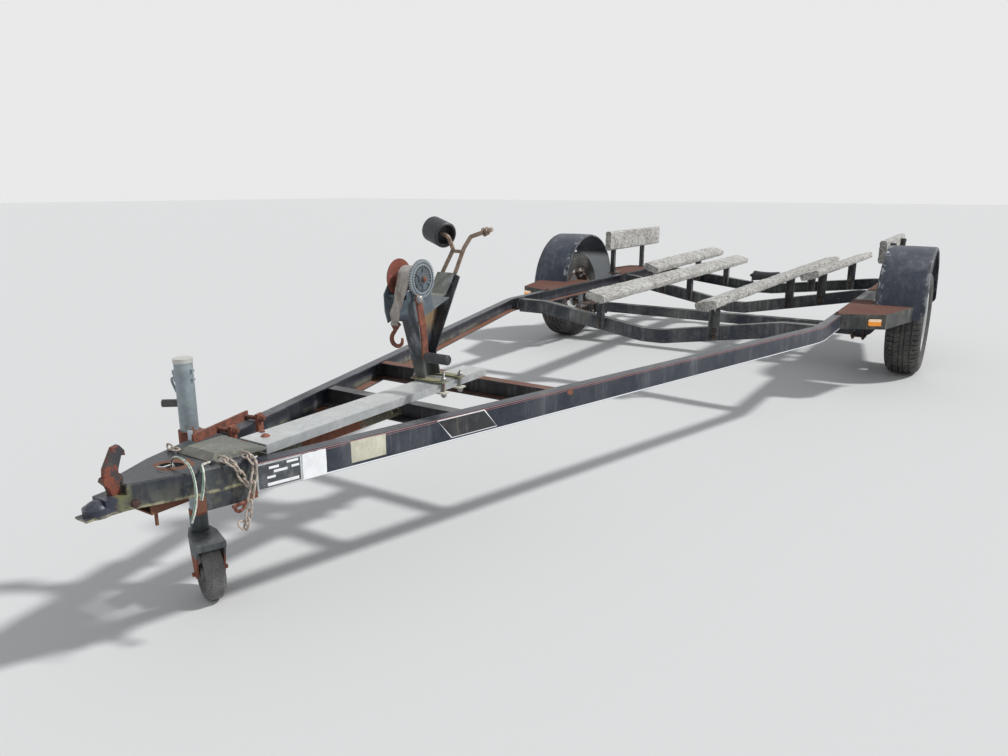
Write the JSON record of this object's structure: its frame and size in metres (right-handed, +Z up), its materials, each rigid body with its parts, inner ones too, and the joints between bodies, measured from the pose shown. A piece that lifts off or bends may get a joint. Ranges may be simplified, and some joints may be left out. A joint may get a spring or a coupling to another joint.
{
  "type": "boat trailer",
  "caption": "Single-axle boat trailer with a V tongue, carpeted bunks, guide boards, hand winch, bow stop, fenders with steps and a caster tongue jack.",
  "frame": {"origin": "on the ground, at the centre of the trailer's length and width", "axes": "+Z up, -Y towards the coupler at the front, +X the trailer's left"},
  "size_m": [2.528, 6.038, 0.9996],
  "materials": {
    "frame_paint": "satin",
    "fender_paint": "satin",
    "galvanised": "satin",
    "rusty_steel": "matte",
    "carpet": "matte",
    "tyre_rubber": "matte",
    "rim_paint": "satin",
    "roller_rubber": "matte",
    "olive_paint": "satin",
    "zinc": "satin",
    "amber_lens": "gloss",
    "red_lens": "gloss",
    "webbing": "matte",
    "black_plastic": "matte",
    "wire_sheath": "satin"
  },
  "bodies": {
    "frame": {"rail_left": "frame_paint", "rail_right": "frame_paint", "cross_tongue": "frame_paint", "cross_front": "frame_paint", "cross_middle": "frame_paint", "cross_rear": "frame_paint", "axle": "frame_paint", "spring_left": "rusty_steel", "spring_right": "rusty_steel", "spring_hangers_left": "frame_paint", "spring_hangers_right": "frame_paint", "spring_clamps": "rusty_steel", "fender_left": "fender_paint", "fender_right": "fender_paint", "step_front_left": "fender_paint", "step_front_right": "fender_paint", "step_rear_left": "fender_paint", "step_rear_right": "fender_paint", "marker_lamps": "amber_lens", "tail_lamps": "red_lens", "bunk_inner_left": "carpet", "bunk_inner_right": "carpet", "bunk_outer_left": "carpet", "bunk_outer_right": "carpet", "bunk_brackets": "frame_paint", "guide_board_left": "carpet", "guide_board_right": "carpet", "guide_posts": "frame_paint", "keel_bracket": "frame_paint", "tongue_box": "galvanised", "tongue_spine": "olive_paint", "coupler": "olive_paint", "coupler_latch": "rusty_steel", "coupler_cap": "olive_paint", "winch_stand": "frame_paint", "winch_frame": "zinc", "winch_gear": "zinc", "winch_drum": "rusty_steel", "winch_strap": "webbing", "winch_hook": "rusty_steel", "winch_crank": "rusty_steel", "winch_grip": "black_plastic", "bow_frame": "rusty_steel", "jack_tube": "galvanised", "jack_crank": "galvanised", "jack_bracket": "rusty_steel", "safety_chain_front": "rusty_steel", "safety_chain_rear": "rusty_steel", "harness_front": "wire_sheath", "harness_rear": "wire_sheath", "harness_loop": "wire_sheath"},
    "left_wheel": {"rim_left": "rim_paint", "tyre_left": "tyre_rubber"},
    "right_wheel": {"rim_right": "rim_paint", "tyre_right": "tyre_rubber"},
    "jack_slider": {"jack_leg": "galvanised"},
    "jack_caster": {"jack_fork": "zinc"},
    "jack_roadwheel": {"jack_wheel": "black_plastic"},
    "bow_roller_body": {"bow_roller": "roller_rubber"},
    "keel_roller_body": {"keel_roller": "roller_rubber"}
  },
  "joints": [
    {"name": "left_wheel_spin", "type": "hinge", "parent": "frame", "child": "left_wheel", "pos_m": [1.161, 1.368, 0.314], "axis": [1, 0, 0], "continuous": true},
    {"name": "right_wheel_spin", "type": "hinge", "parent": "frame", "child": "right_wheel", "pos_m": [-1.161, 1.368, 0.314], "axis": [1, 0, 0], "continuous": true},
    {"name": "jack_lift", "type": "slide", "parent": "frame", "child": "jack_slider", "axis": [0, 0, 1], "range_m": [-0.185, 0.055]},
    {"name": "caster_swivel", "type": "hinge", "parent": "jack_slider", "child": "jack_caster", "pos_m": [-0.192, -2.609, 0.2], "axis": [0, 0, 1], "continuous": true},
    {"name": "jack_wheel_spin", "type": "hinge", "parent": "jack_caster", "child": "jack_roadwheel", "pos_m": [-0.12339, -2.63672, 0.079], "axis": [0.3746, 0.9272, 0], "continuous": true},
    {"name": "bow_roller_spin", "type": "hinge", "parent": "frame", "child": "bow_roller_body", "pos_m": [-0.016, -1.727, 0.949], "axis": [0.9192, -0.3197, -0.2298], "continuous": true},
    {"name": "keel_roller_spin", "type": "hinge", "parent": "frame", "child": "keel_roller_body", "pos_m": [0, 2.573, 0.402], "axis": [1, 0, 0], "continuous": true}
  ]
}
